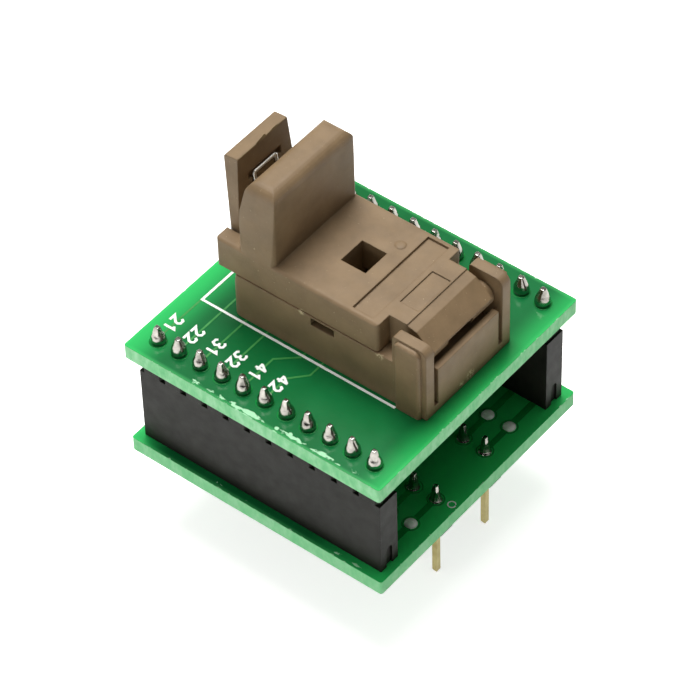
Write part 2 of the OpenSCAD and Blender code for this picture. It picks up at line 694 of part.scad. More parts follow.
// Side view of the lever: leaning panel above the pivot, hooked arm below it
panel_foot = 1.05;                          // thickness of the panel at its foot
panel_z1 = lid_z1 + panel_h;
panel_in = latch_x - panel_lean + panel_t;   // inner edge of the panel's top
function latch_side() = rounded([
    [latch_x, lid_z1, 0], [latch_x - panel_lean, panel_z1 - 0.15, 0.2], [panel_in, panel_z1, 0.15],
    [latch_x + panel_foot, lid_z1, 0], [pivot_x + 0.5, pivot_z - 0.4, 0], [arm_in, lid_z0 - 0.4, 0],
    [arm_in, hook_z, 0], [base_x0 + hook_reach, hook_z, 0.1], [base_x0 + 0.15, hook_z - hook_h, 0.1],
    [arm_out, hook_z - hook_h - 0.15, 0.2], [arm_out - 0.1, lid_z0 - 0.4, 0], [latch_x, pivot_z - 0.4, 0]], 4);

module latch()
    color("#8a7663") on_board() difference() {
        union() {
            intersection() {
                along_y(latch_side(), -latch_w / 2, latch_w / 2);
                along_x([[-latch_w / 2, 0], [latch_w / 2, 0], [latch_w / 2, lid_z1],
                         [latch_top_w / 2, panel_z1], [-latch_top_w / 2, panel_z1],
                         [-latch_w / 2, lid_z1]], latch_x - 3, latch_x + 3);
            }
            bar_y(pivot_x, pivot_z, boss_r, latch_w / 2);
        }
        bar_y(pivot_x, pivot_z, latch_pin_d / 2 + run, latch_w / 2 + over);
        // Pocket that the spring's bar lies in, and a groove for each leg
        translate([spring_face(bar_z), 0, bar_z])
            box([-0.42, -2.35, -0.45], [over, 2.35, 0.45]);
        for (side = [-1, 1]) translate([0, side * bar_half, 0])
            along_y([[spring_face(bar_z) - 0.42, bar_z], [spring_face(bar_z) + over, bar_z],
                     [slot_x + over, pivot_z], [pivot_x - 0.1, pivot_z]], -0.3, 0.3);
        for (side = [-1, 1]) bar_between(pivot_x, pivot_z, latch_coil_r + latch_wire_r + 0.06,
                                         side * (bar_half - 0.3), side * (bar_half + 0.75));
    }

// Inner face of the panel at height z
function spring_face(z) = let (k = (z - lid_z1) / panel_h)
    (latch_x + panel_foot) * (1 - k) + panel_in * k;

bar_z = lid_z1 + panel_h * 0.645;
bar_half = 1.55;

module latch_pin()
    color("#c4c7ca") on_board() bar_y(pivot_x, pivot_z, latch_pin_d / 2, latch_w / 2 + 1.25);

// Wire spring: two small coils on the latch pin, joined by legs to the bar across the panel
module latch_spring() {
    bar_x = spring_face(bar_z) + 0.02;
    leg_x = pivot_x + latch_coil_r;
    turn = [for (k = [0:12]) let (a = 360 - 30 * k)
                [pivot_x + latch_coil_r * cos(a), bar_half + 0.42 * (1 - k / 12),
                 pivot_z - latch_coil_r * sin(a)]];
    side = concat(turn, [[leg_x + 0.02, bar_half, pivot_z + 0.8], [bar_x, bar_half, bar_z - 0.25],
                         [bar_x, bar_half - 0.07, bar_z - 0.07], [bar_x, bar_half - 0.25, bar_z]]);
    other = [for (i = [len(side) - 1:-1:0]) [side[i].x, -side[i].y, side[i].z]];
    color("#c4c7ca") on_board() wire(concat(side, other), latch_wire_r, 6);
}

// ---------------------------------------------------------------- nodes

lower_board();
dip_strip(-1);  // dip_strip_front
dip_strip(1);  // dip_strip_back
dip_pins(-1);  // dip_pins_front
dip_pins(1);  // dip_pins_back
dip_solder(-1);  // dip_solder_front
dip_solder(1);  // dip_solder_back
spare_solder();
socket_strip(-1);  // socket_strip_front
socket_strip(1);  // socket_strip_back
strip_contacts(-1);  // strip_contacts_front
strip_contacts(1);  // strip_contacts_back
strip_solder(-1);  // strip_solder_front
strip_solder(1);  // strip_solder_back
upper_board();
header_strip(-1);  // header_strip_front
header_strip(1);  // header_strip_back
header_pins(-1);  // header_pins_front
header_pins(1);  // header_pins_back
header_solder(-1);  // header_solder_front
header_solder(1);  // header_solder_back
socket_base();
contact_nest();
force_contacts();
sense_contacts();
contact_solder();
hinge_pin();
lid_spring();
lid();
lid_spring_leg();
latch();
latch_pin();
latch_spring();
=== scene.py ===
# %% [markdown]
# # A clamshell test socket on a plug-in adapter
#
# The real object is a small brown socket with a sprung, latched lid. It is soldered to a green
# board that plugs into a second green board through two black socket strips, and gold pins stand
# under the whole stack.
#
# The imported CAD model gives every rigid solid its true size. This script leaves those solids where
# they are. It adds what CAD leaves out: the finish of each material, the solder as it really froze,
# the copper under the mask, the printed ink and the small faults of moulding and sawing.

from math import radians

import bpy
import numpy as np
from mathutils import Matrix, Vector


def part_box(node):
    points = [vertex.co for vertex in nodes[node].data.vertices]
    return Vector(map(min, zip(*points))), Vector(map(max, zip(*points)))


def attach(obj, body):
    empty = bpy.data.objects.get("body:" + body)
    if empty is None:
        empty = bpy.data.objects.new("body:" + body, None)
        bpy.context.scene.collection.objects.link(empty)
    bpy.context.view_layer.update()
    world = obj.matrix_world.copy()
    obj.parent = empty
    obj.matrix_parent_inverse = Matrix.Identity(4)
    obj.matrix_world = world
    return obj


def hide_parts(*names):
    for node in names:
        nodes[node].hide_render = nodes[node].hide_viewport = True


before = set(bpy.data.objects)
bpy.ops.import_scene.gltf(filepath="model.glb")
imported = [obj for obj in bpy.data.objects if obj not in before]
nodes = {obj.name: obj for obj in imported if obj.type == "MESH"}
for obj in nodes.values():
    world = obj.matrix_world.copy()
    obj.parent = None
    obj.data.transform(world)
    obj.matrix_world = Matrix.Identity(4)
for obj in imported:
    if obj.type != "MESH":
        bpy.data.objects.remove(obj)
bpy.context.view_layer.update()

MM = 0.001


def box_mm(name):
    """Lowest and highest corner of a CAD node, in millimetres."""
    low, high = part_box(name)
    return np.array(low) / MM, np.array(high) / MM


# %% [markdown]
# ## Camera
#
# A long lens far from a small object keeps parallel edges almost parallel, as a product shot does.
# The camera is set from four plain facts: the point it looks at, its distance, its direction round
# and above the object, and a small roll. A rotation matrix is built from them, because a camera
# looks along its own -Z with +Y up.

# %% Camera
LOOK_AT = Vector((1.03, -1.55, 21.08)) * MM
DISTANCE = 369.3 * MM
AZIMUTH, ELEVATION, ROLL = radians(39.575), radians(46.454), radians(-1.771)
LENS, SENSOR = 204.81, 36                       # mm, both of the camera itself


def camera_turn(azimuth, elevation, roll):
    """Rotation whose -Z is the viewing direction: tip down, swing round Z, roll on its own axis."""
    return (Matrix.Rotation(azimuth, 3, "Z") @ Matrix.Rotation(radians(90) - elevation, 3, "X")
            @ Matrix.Rotation(roll, 3, "Z"))


camera_data = bpy.data.cameras.new("camera")
camera_data.lens, camera_data.sensor_width = LENS, SENSOR
camera_data.clip_start, camera_data.clip_end = 0.01, 20
camera = bpy.data.objects.new("camera", camera_data)
turn = camera_turn(AZIMUTH, ELEVATION, ROLL)
camera.matrix_world = Matrix.Translation(LOOK_AT + turn @ Vector((0, 0, DISTANCE))) @ turn.to_4x4()
bpy.context.scene.collection.objects.link(camera)
bpy.context.scene.camera = camera
print("camera at", [round(c / MM, 1) for c in camera.location], "mm")

# %% [markdown]
# ## Colour and node helpers
#
# Colours are read off as sRGB hex, the way a paint chart gives them, but shaders work in linear
# light, so one function turns one into the other. A second function adds a shader node, fills in
# its sockets and links it: with it a whole material fits in a few lines.

# %% Colour and node helpers
def colour(hex_code):
    """Linear RGBA of an sRGB hex colour: c/12.92 below 0.04045, else ((c + 0.055)/1.055) ** 2.4."""
    s = np.array([int(hex_code[i:i + 2], 16) / 255 for i in (1, 3, 5)])
    linear = np.where(s <= 0.04045, s / 12.92, ((s + 0.055) / 1.055) ** 2.4)
    return (*[float(c) for c in linear], 1.0)


def add(tree, kind, inputs=None, **settings):
    """Adds a node and returns it.

    settings are its own properties; inputs maps a socket to a value, or to an output to link.
    """
    made = tree.nodes.new(kind)
    for key, value in settings.items():
        setattr(made, key, value)
    for socket, value in (inputs or {}).items():
        if isinstance(value, bpy.types.NodeSocket):
            tree.links.new(value, made.inputs[socket])
        else:
            made.inputs[socket].default_value = value
    return made


def material(name):
    """Empty node material: returns it, its tree, its Principled shader and the object's own coordinates."""
    made = bpy.data.materials.new(name)
    made.use_nodes = True
    tree = made.node_tree
    tree.nodes.clear()
    shader = add(tree, "ShaderNodeBsdfPrincipled")
    add(tree, "ShaderNodeOutputMaterial", {"Surface": shader.outputs[0]})
    place = add(tree, "ShaderNodeTexCoord")
    return made, tree, shader, place


def noise(tree, place, size_mm, detail=3.0, rough=0.5):
    """Noise whose blotches are about size_mm across, as a 0-1 value."""
    return add(tree, "ShaderNodeTexNoise", {"Vector": place.outputs["Object"], "Scale": 1 / (size_mm * MM),
                                            "Detail": detail, "Roughness": rough}).outputs["Fac"]


def ramp(tree, value, stops):
    """Colour ramp through (position, hex colour) stops."""
    made = add(tree, "ShaderNodeValToRGB", {"Fac": value})
    while len(made.color_ramp.elements) < len(stops):
        made.color_ramp.elements.new(0.5)
    for element, (position, tone) in zip(made.color_ramp.elements, stops):
        element.position, element.color = position, colour(tone)
    return made.outputs["Color"]


def remap(tree, value, low, high, to_low=0.0, to_high=1.0, smooth=False):
    """Value that goes from to_low at low to to_high at high, and stays level outside."""
    return add(tree, "ShaderNodeMapRange", {"Value": value, "From Min": low, "From Max": high,
                                            "To Min": to_low, "To Max": to_high},
               interpolation_type="SMOOTHSTEP" if smooth else "LINEAR").outputs["Result"]


def calc(tree, operation, a, b=0.0):
    """Sum of two values, or whatever else the operation says."""
    return add(tree, "ShaderNodeMath", {0: a, 1: b}, operation=operation).outputs[0]


def mix(tree, factor, a, b):
    """Colour mix; a and b are hex colours or outputs."""
    a, b = [colour(c) if isinstance(c, str) else c for c in (a, b)]
    # The node keeps sockets for every data type: its colours are inputs 6 and 7 and output 2
    return add(tree, "ShaderNodeMix", {0: factor, 6: a, 7: b}, data_type="RGBA").outputs[2]


def distance(tree, place, spot_mm):
    """Distance from a spot given in mm."""
    spot = tuple(c * MM for c in spot_mm)
    return add(tree, "ShaderNodeVectorMath", {0: place.outputs["Object"], 1: spot},
               operation="DISTANCE").outputs["Value"]


print("helpers ready; mid grey #808080 is", round(colour("#808080")[0], 3), "in linear light")

# %% [markdown]
# ## Moulded plastic
#
# The socket is moulded from a glass-filled high-temperature thermoplastic (a polyethersulfone,
# PES): matt, a little mottled, with short glass fibres that show as pale specks. Steel tools leave
# a fine spark-eroded grain, so the surface is rough at a scale of about 0.1 mm. A real moulding has
# no perfectly sharp edge. A Bevel node rounds the shading of the CAD solid's edges, by 0.18 mm on
# the socket, which catches the light as the real edge does.

# %% Brown moulded plastic
def moulded(name, tones, speck, grain_mm, grain_depth_mm, roughness, edge_mm, shine=0.35, scuffs=()):
    """Moulded thermoplastic: broad mottling, sparse pale fibre ends, spark-eroded grain and softened edges.

    Each scuff (x, y, z, radius in mm) is a ball round that point inside which torn fibres show pale.
    """
    made, tree, shader, place = material(name)
    mottle = ramp(tree, noise(tree, place, 2.6, 4.0, 0.6), [(0.3, tones[0]), (0.7, tones[1])])
    fibres = noise(tree, place, 0.16, 1.0, 0.4)
    tone = mix(tree, remap(tree, fibres, 0.76, 0.84), mottle, speck)
    torn_fibres = remap(tree, noise(tree, place, 0.25, 4.0, 0.7), 0.50, 0.56)
    for *spot, radius in scuffs:
        inside = remap(tree, distance(tree, place, spot), 0.4 * radius * MM, radius * MM, 1.0, 0.0)
        tone = mix(tree, calc(tree, "MULTIPLY", inside, torn_fibres), tone, speck)
    rounded_edge = add(tree, "ShaderNodeBevel", {"Radius": edge_mm * MM}, samples=4)
    grain = add(tree, "ShaderNodeBump", {"Height": noise(tree, place, grain_mm, 4.0, 0.6),
                                         "Distance": grain_depth_mm * MM, "Strength": 0.7,
                                         "Normal": rounded_edge.outputs["Normal"]})
    rough = remap(tree, noise(tree, place, 1.1, 3.0), 0.3, 0.7, roughness - 0.05, roughness + 0.06)
    for socket, value in (("Base Color", tone), ("Normal", grain.outputs["Normal"]), ("Roughness", rough)):
        tree.links.new(value, shader.inputs[socket])
    shader.inputs["IOR"].default_value = 1.55
    shader.inputs["Specular IOR Level"].default_value = shine
    return made


# Scuffs: low on the end wall, under the notch beside the near ear, at the seam, and three on the thumb block
SCUFFS = [(13.15, 0.9, 23.5, 0.7), (13.15, -0.4, 23.3, 0.45), (7.8, -5.62, 28.0, 0.55),
          (-1.2, -5.62, 28.1, 0.45), (-6.7, -5.5, 32.8, 0.16), (-6.3, -5.6, 30.3, 0.14),
          (-2.6, -5.6, 31.0, 0.12)]
brown_plastic = moulded("glass_filled_pes_brown", ("#7d674b", "#8d7556"), "#cdbb93", 0.10, 0.012, 0.55, 0.18,
                        scuffs=SCUFFS)
nest_plastic = moulded("glass_filled_pes_dark", ("#4b3f30", "#564a39"), "#8a7a68", 0.10, 0.010, 0.55, 0.05)
print("moulded plastics:", brown_plastic.name, nest_plastic.name)

# %% Black moulded plastic
# Pin strips and socket strips: PBT with carbon black, smoother than the socket and slightly satin.
black_plastic = moulded("carbon_black_pbt", ("#1b1a17", "#23221e"), "#34322e", 0.12, 0.006, 0.48, 0.06, 0.12)
print("strip plastic:", black_plastic.name)

# %% [markdown]
# ## Circuit board
#
# A board is woven glass in epoxy (FR-4) under a glossy green solder mask. Only its two faces carry
# the mask: the sawn sides show the pale laminate, with streaks from the blade, and the mask flakes
# off in pale chips along the cut. One material does both. It reads the surface normal to tell a
# face from a side, and the distance to the edge to place the chips.

# %% Solder mask and cut laminate
BOARD_HALF = 15.0
CHIP_SPOTS = [(2.9, -14.55, 22.88), (4.35, -14.4, 22.88)]
BETWEEN_BOARDS = (14.0, 16.0)                   # heights: the lower board is below both, the upper above
LEFT_PAINTED_GLOW = (-15.5, -10.5, 0.85, 0.0)           # along X: from, to, and the share of painted glow at each
RIGHT_PAINTED_GLOW = (12.0, 15.4, 0.0, 0.6)
LOW_PAINTED_LIGHT = (6.0, 14.0, 0.0, 0.9)
SAW_LINE, SAW_MIDDLE = 0.45, 3.0                # the row of scratches: in from the front edge, and its middle


def board_material():
    """Green mask on the two faces and pale cut laminate on the sides, told apart by the surface normal."""
    made, tree, shader, place = material("fr4_laminate_green_mask")
    at = add(tree, "ShaderNodeSeparateXYZ", {"Vector": place.outputs["Object"]})
    facing = add(tree, "ShaderNodeSeparateXYZ", {"Vector": place.outputs["Normal"]})
    is_face = remap(tree, calc(tree, "ABSOLUTE", facing.outputs["Z"]), 0.45, 0.55)
    from_front = calc(tree, "ADD", at.outputs["Y"], BOARD_HALF * MM)
    across = calc(tree, "MAXIMUM", calc(tree, "ABSOLUTE", at.outputs["X"]),
                  calc(tree, "ABSOLUTE", at.outputs["Y"]))
    from_edge = calc(tree, "SUBTRACT", BOARD_HALF * MM, across)
    # Mask: slightly uneven ink, paler where it thins at the very edge
    mask = ramp(tree, noise(tree, place, 5.0, 3.0), [(0.3, "#0b6632"), (0.7, "#12713b")])
    mask = mix(tree, remap(tree, from_edge, 0.0, 0.5 * MM, 0.55, 0.0, smooth=True), mask, "#4cba69")
    # Painted glow: no strip stands under the two short ends, so light would come up through the laminate
    # there, and the mask is painted a brighter green instead; painted light also brightens the lower board
    # towards its right end
    low, high = [z * MM for z in BETWEEN_BOARDS]
    below = remap(tree, at.outputs["Z"], low, high, 1.0, 0.0)          # 1 on the lower board, 0 on the upper

    def along_x(x0, x1, share0, share1, smooth):
        return remap(tree, at.outputs["X"], x0 * MM, x1 * MM, share0, share1, smooth=smooth)

    left_painted_glow, right_painted_glow = along_x(*LEFT_PAINTED_GLOW, smooth=True), along_x(*RIGHT_PAINTED_GLOW, smooth=True)
    low_painted_light = calc(tree, "MULTIPLY", below, along_x(*LOW_PAINTED_LIGHT, smooth=False))
    # painted light: the brighter green stands in for light through and onto the laminate
    mask = mix(tree, calc(tree, "MAXIMUM", left_painted_glow, right_painted_glow), mask, "#33cc68")
    mask = mix(tree, low_painted_light, mask, "#2fc262")
    # Chips: where broken noise is higher than a level that rises with the distance from the sawn edge. Along
    # the upper board's front edge the saw left a row of long scratches a little way in, and two lone spots.
    broken = noise(tree, place, 0.7, 5.0, 0.6)
    edge_reach = remap(tree, from_edge, 0.0, 0.25 * MM, 0.54, 0.80)
    long_cells = add(tree, "ShaderNodeMapping", {"Vector": place.outputs["Object"], "Scale": (0.4, 1.0, 1.0)})
    scratch = add(tree, "ShaderNodeTexNoise", {"Vector": long_cells.outputs[0], "Scale": 1 / (0.7 * MM),
                                               "Detail": 8.0, "Roughness": 0.72}).outputs["Fac"]
    off_line = calc(tree, "ABSOLUTE", calc(tree, "SUBTRACT", from_front, SAW_LINE * MM))
    off_middle = calc(tree, "ABSOLUTE", calc(tree, "SUBTRACT", at.outputs["X"], SAW_MIDDLE * MM))
    row_level = calc(tree, "ADD", remap(tree, off_line, 0.1 * MM, 0.5 * MM, 0.46, 0.70),
                     remap(tree, off_middle, 10.0 * MM, 13.0 * MM, 0.0, 0.4))
    row_level = calc(tree, "ADD", row_level, calc(tree, "MULTIPLY", below, 0.09))
    row_level = calc(tree, "ADD", row_level, remap(tree, noise(tree, place, 1.3, 1.0), 0.40, 0.62, 0.0, 0.14))
    chips = remap(tree, calc(tree, "SUBTRACT", broken, edge_reach), 0.0, 0.03)
    chips = calc(tree, "MAXIMUM", chips, remap(tree, calc(tree, "SUBTRACT", scratch, row_level), 0.0, 0.03))
    for spot in CHIP_SPOTS:
        ragged = calc(tree, "ADD", distance(tree, place, spot), calc(tree, "MULTIPLY", broken, 0.5 * MM))
        chips = calc(tree, "MAXIMUM", chips, remap(tree, ragged, 0.46 * MM, 0.52 * MM, 1.0, 0.0))
    mask = mix(tree, calc(tree, "MULTIPLY", chips, 0.85), mask, "#b4ebbf")
    # Cut side: pale resin and glass, streaked upright by the blade
    stretch = add(tree, "ShaderNodeMapping", {"Vector": place.outputs["Object"], "Scale": (1.0, 1.0, 0.5)})
    streak = add(tree, "ShaderNodeTexNoise", {"Vector": stretch.outputs[0], "Scale": 1 / (0.7 * MM),
                                              "Detail": 4.0, "Roughness": 0.55}).outputs["Fac"]
    cut = ramp(tree, streak, [(0.3, "#7fd895"), (0.5, "#96e3a6"), (0.7, "#b0eebd")])
    cut = mix(tree, calc(tree, "MULTIPLY", below, 0.4), cut, "#74c588")        # painted shade: the lower board's cut sides are painted darker and greener
    tree.links.new(mix(tree, is_face, cut, mask), shader.inputs["Base Color"])
    rough_face = remap(tree, chips, 0.0, 1.0, 0.20, 0.6)
    rough_cut = remap(tree, is_face, 0.0, 1.0, 0.75, 0.0)
    rough = calc(tree, "ADD", rough_cut, calc(tree, "MULTIPLY", rough_face, is_face))
    tree.links.new(rough, shader.inputs["Roughness"])
    rounded_edge = add(tree, "ShaderNodeBevel", {"Radius": 0.08 * MM}, samples=4)
    height = mix(tree, is_face, streak, noise(tree, place, 1.4, 2.0))
    bump = add(tree, "ShaderNodeBump", {"Height": height, "Distance": 0.03 * MM, "Strength": 0.35,
                                        "Normal": rounded_edge.outputs["Normal"]})
    tree.links.new(bump.outputs["Normal"], shader.inputs["Normal"])
    shader.inputs["IOR"].default_value = 1.5
    shader.inputs["Specular IOR Level"].default_value = 0.25
    return made


board_finish = board_material()
print("board finish:", board_finish.name)

# %% [markdown]
# ## Metals
#
# Three metals show: thin gold over nickel on the pins and contacts, tin solder, and spring steel. A
# metal has no diffuse colour of its own, so its look is what it mirrors and how rough it is. Solder
# freezes with a skin that is bright but slightly rippled. The caps over the empty holes get a near-white,
# mostly matt finish instead: a painted highlight for the light they catch. Gold flashed over a drawn pin is
# duller than solder.

# %% Solder, gold and steel
def metal(name, tones, roughness, patch_mm, ripple_mm, ripple_depth_mm, metal_share=1.0):
    """Metal whose tone and roughness drift over patches; metal_share below 1 mixes in a matt, non-metal
    share.
    """
    made, tree, shader, place = material(name)
    patches = noise(tree, place, patch_mm, 3.0)
    tree.links.new(ramp(tree, patches, [(0.3, tones[0]), (0.7, tones[1])]), shader.inputs["Base Color"])
    tree.links.new(remap(tree, patches, 0.3, 0.7, roughness[0], roughness[1]), shader.inputs["Roughness"])
    ripple = add(tree, "ShaderNodeBump", {"Height": noise(tree, place, ripple_mm, 2.0), "Strength": 0.6,
                                          "Distance": ripple_depth_mm * MM})
    tree.links.new(ripple.outputs["Normal"], shader.inputs["Normal"])
    shader.inputs["Metallic"].default_value = metal_share
    return made


solder_metal = metal("tin_solder_bright", ("#8a8781", "#b4b0a9"), (0.10, 0.20), 0.6, 0.28, 0.02)
# painted highlight: near-white, mostly matt solder for the spare caps, standing in for the light they catch
solder_painted_highlight = metal("tin_solder_painted_highlight", ("#e2e0db", "#f6f5f2"), (0.18, 0.28), 0.4, 0.20, 0.02, metal_share=0.12)
gold_metal = metal("gold_flash_on_brass", ("#a3945f", "#c0b27e"), (0.28, 0.42), 1.2, 0.20, 0.004)
contact_metal = metal("gold_plated_beryllium_copper", ("#c19a48", "#d9b560"), (0.22, 0.34), 0.8, 0.15, 0.003)
steel_metal = metal("drawn_spring_steel", ("#e4e2da", "#f4f2ea"), (0.34, 0.46), 0.7, 0.10, 0.003)
print("metals:", [m.name for m in (solder_metal, solder_painted_highlight, gold_metal, contact_metal, steel_metal)])

# %% [markdown]
# ## Giving the CAD solids their finish
#
# The record names a material slot for each solid, and one dictionary maps slots to finishes.
# Assigning to the object's material slot leaves the mesh itself untouched.

# %% Dress the CAD nodes
finish_of = {"circuit_board": board_finish, "black_moulding": black_plastic, "gold_pins": gold_metal,
             "gold_contacts": contact_metal, "solder": solder_metal, "socket_plastic": brown_plastic,
             "nest_plastic": nest_plastic, "steel": steel_metal}


def slot_of(name):
    """The record's slot of a node, read from its name's family."""
    for words, slot in ((("board",), "circuit_board"), (("solder",), "solder"), (("nest",), "nest_plastic"),
                        (("force", "sense", "strip_contacts"), "gold_contacts"),
                        (("strip",), "black_moulding"), (("dip_pins", "header_pins"), "gold_pins"),
                        (("spring", "_pin"), "steel")):
        if any(word in name for word in words):
            return slot
    return "socket_plastic"


for name, solid in nodes.items():
    for place in solid.material_slots:
        place.material = finish_of[slot_of(name)]
for place in nodes["spare_solder"].material_slots:      # painted highlight: the caps over empty holes are painted near-white and mostly matt
    place.material = solder_painted_highlight
print("dressed", len(nodes), "CAD nodes")

# %% [markdown]
# ## Surfaces from numpy
#
# Every new piece is a grid of points: rows along one parameter, columns along the other.
# Neighbouring points make a quad, so the faces follow from the grid's size alone and need no loop
# over vertices. Closing a direction joins its last row to its first, and a cap closes an end with
# one polygon.

# %% Grid helpers
def grid_faces(rows, columns, start=0):
    """Quads of a rows x columns grid whose last column joins the first."""
    i, k = np.meshgrid(np.arange(rows - 1), np.arange(columns), indexing="ij")
    right = (k + 1) % columns
    corners = [i * columns + k, i * columns + right, (i + 1) * columns + right, (i + 1) * columns + k]
    return (np.stack(corners, -1).reshape(-1, 4) + start).tolist()


def finished(name, points, faces, finish, body, smooth=True):
    """Object from point arrays in mm and lists of faces, which rides on its body."""
    mesh = bpy.data.meshes.new(name)
    mesh.from_pydata((np.concatenate(points) * MM).tolist(), [], faces)
    mesh.materials.append(finish)
    mesh.polygons.foreach_set("use_smooth", np.full(len(mesh.polygons), smooth))
    mesh.update()
    made = bpy.data.objects.new(name, mesh)
    bpy.context.scene.collection.objects.link(made)
    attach(made, body)
    return made


def piece(name, tubes, finish, body, smooth=True):
    """One object from closed tubes: each is a rows x columns x 3 array in mm, whose two ends are capped."""
    points, faces, start = [], [], 0
    for grid in tubes:
        rows, columns = grid.shape[:2]
        points.append(grid.reshape(-1, 3))
        faces += grid_faces(rows, columns, start=start)
        faces += [list(range(start + columns - 1, start - 1, -1)),
                  list(range(start + (rows - 1) * columns, start + rows * columns))]
        start += rows * columns
    return finished(name, points, faces, finish, body, smooth)


def joints(row_y, top_z, count=11, pitch=2.54):
    """Places of a row of pins, as a count x 3 array."""
    x = (np.arange(count) - (count - 1) / 2) * pitch
    return np.stack([x, np.full(count, row_y), np.full(count, top_z)], -1)


# How far each row of pins or holes is from the boards' middle line
HEADER_ROW, DIP_ROW, SPARE_ROW = 12.7, 3.81, 7.62
print("a 3 x 4 closed grid has", len(grid_faces(3, 4)), "quads")

# %% [markdown]
# ## Solder that climbs the pins
#
# Molten solder wets the pad and climbs the square pin. It freezes as a drop: full near the foot,
# drawn in above it, and at last so thin that the pin's square shape shows through, right over its
# end. No two are alike, so the climb, the fullness and the lean change from joint to joint. Each
# drop is a grid of angle by height.

# %% Solder drops
RNG = np.random.default_rng(7)
# The last four rings close over the pin's end: their heights above it, and the share of the radius left
TIP_RISE, TIP_SHRINK = (-0.02, 0.015, 0.028, 0.030), (1.0, 0.97, 0.7, 0.1)
# Solder on the pin's sides, and how far a drop starts below the board's face
SKIN, SUNK = 0.03, 0.01


def drops(places, profile, pin_half, end_half, taper, pin_top, climb=(0.9, 1.2), wobble=0.06):
    """Drops round square pins.

    The round radius at height h is profile(h * climb), times 1 + slow waves in the angle a. The pin's skin is
    the square s/max(|cos a|, |sin a|), where s shrinks along the pin's taper. The surface is their soft
    maximum, the eighth root of the sum of their eighth powers.
    """
    angle = np.linspace(0, 2 * np.pi, 41)[:-1]
    h = np.concatenate([[0, 0.03, 0.08, 0.15, 0.24, 0.34], np.linspace(0.45, pin_top - 0.06, 14),
                        pin_top + np.array(TIP_RISE)])
    s = SKIN + np.interp(h, [0, pin_top - taper, pin_top], [pin_half, pin_half, end_half])
    corner = np.minimum(1 / np.maximum(np.abs(np.cos(angle)), np.abs(np.sin(angle))), 1.3)
    square = s[:, None] * corner
    made = []
    for x, y, z in places:
        stretch = RNG.uniform(*climb)
        phase, size = RNG.uniform(0, 2 * np.pi, 3), RNG.uniform(0.4, 1.0, 2) * wobble
        wave = 1 + size[0] * np.sin(angle + phase[0]) + size[1] * 0.6 * np.sin(2 * angle + phase[1])
        round_part = np.interp(h * stretch, *profile)[:, None] * wave
        radius = (round_part ** 8 + square ** 8) ** 0.125
        radius[-4:] *= np.array(TIP_SHRINK)[:, None]
        lean = 0.05 * np.clip(1 - h / 1.2, 0, 1)[:, None]
        made.append(np.stack([x + lean * np.cos(phase[2]) + radius * np.cos(angle),
                              y + lean * np.sin(phase[2]) + radius * np.sin(angle),
                              z - SUNK + np.repeat(h[:, None], len(angle), 1)], -1))
    return made


# Height and radius in mm
FULL_DROP = ([0, 0.10, 0.3, 0.6, 0.9, 1.15, 1.4, 1.65, 1.9, 2.6],
             [0.64, 0.74, 0.77, 0.73, 0.63, 0.51, 0.40, 0.30, 0.18, 0.05])
LEAN_CONE = ([0, 0.07, 0.18, 0.35, 0.6, 1.0, 1.4, 2.6], [0.66, 0.61, 0.55, 0.49, 0.43, 0.38, 0.30, 0.05])
# Half the pin's side, half the side of its end, and the length of the taper between them
HEADER_PIN, DIP_PIN = (0.32, 0.2, 0.6), (0.28, 0.16, 0.6)
upper_top = box_mm("upper_board")[1][2]
lower_top = box_mm("lower_board")[1][2]
for side, sign in (("front", -1), ("back", 1)):
    top = box_mm("header_pins_" + side)[1][2] - upper_top
    grids = drops(joints(sign * HEADER_ROW, upper_top), FULL_DROP, *HEADER_PIN, top)
    full = piece("solder_drops_" + side, grids, solder_metal, "upper")
    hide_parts("header_solder_" + side)
    top = box_mm("dip_pins_" + side)[1][2] - lower_top
    grids = drops(joints(sign * DIP_ROW, lower_top), LEAN_CONE, *DIP_PIN, top)
    cone = piece("solder_cones_" + side, grids, solder_metal, "lower")
    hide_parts("dip_solder_" + side)
print("44 solder joints on the two boards")

# %% [markdown]
# ## Copper and ink on the boards
#
# Under the mask run copper tracks about 0.02 mm thick, which stand up as low olive-green ridges. On
# top of it the maker prints white ink: an outline round the socket and a number beside each wired
# pin. Both are ribbons: a flat four-cornered section carried along a path, with its corners mitred
# where the path bends.

# %% Ribbon along a path
def ribbon(path, width, z0, z1):
    """Closed slab along a flat path, as a rows x 4 x 3 array.

    Each corner of the path is offset sideways by half the width along the bisector of its two directions,
    divided by the cosine of half the bend, so the ribbon keeps its width round the corner.
    """
    path = np.array(path, float)
    along = np.diff(path, axis=0)
    along /= np.linalg.norm(along, axis=1, keepdims=True)
    before, after = np.vstack([along[:1], along]), np.vstack([along, along[-1:]])
    mean = before + after
    mean /= np.linalg.norm(mean, axis=1, keepdims=True)
    side = np.stack([-mean[:, 1], mean[:, 0]], -1) * (width / 2 / np.sum(mean * after, 1))[:, None]
    left, right = path + side, path - side
    corners = ((right, z0), (left, z0), (left, z1), (right, z1))
    return np.stack([np.column_stack([p, np.full(len(p), z)]) for p, z in corners], 1)


def mask_over_copper(name, tones, roughness):
    """Solder mask that lies on copper: the metal shines through, so it is paler and more yellow."""
    made, tree, shader, place = material(name)
    tone = ramp(tree, noise(tree, place, 0.8, 3.0), [(0.3, tones[0]), (0.7, tones[1])])
    tree.links.new(tone, shader.inputs["Base Color"])
    bump = add(tree, "ShaderNodeBump", {"Height": noise(tree, place, 0.4, 2.0), "Distance": 0.02 * MM,
                                        "Strength": 0.4})
    tree.links.new(bump.outputs["Normal"], shader.inputs["Normal"])
    shader.inputs["Roughness"].default_value = roughness
    shader.inputs["Specular IOR Level"].default_value = 0.22
    return made


